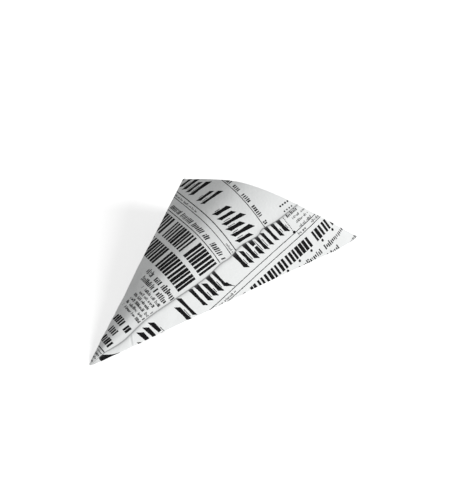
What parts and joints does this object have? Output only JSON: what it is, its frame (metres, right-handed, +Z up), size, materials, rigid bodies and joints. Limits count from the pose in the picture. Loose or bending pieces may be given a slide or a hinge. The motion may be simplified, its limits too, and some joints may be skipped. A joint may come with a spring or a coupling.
{
  "type": "paper serving cone",
  "caption": "Pointed paper cone for takeaway snacks, one thin sheet folded and glued along a lap, opened and lying on its flat back, with a slanted open mouth.",
  "frame": {"origin": "middle of the bounding box's bottom face, on the surface that the cone lies on", "axes": "+X from the tip to the mouth along the cone, +Y to the short fold, +Z up"},
  "size_m": [0.2418, 0.1392, 0.0586],
  "materials": {
    "printed_paper": "matt cool-white greaseproof paper, printed black outside"
  },
  "bodies": {
    "root": {"paper_cone": "printed_paper"}
  },
  "joints": []
}
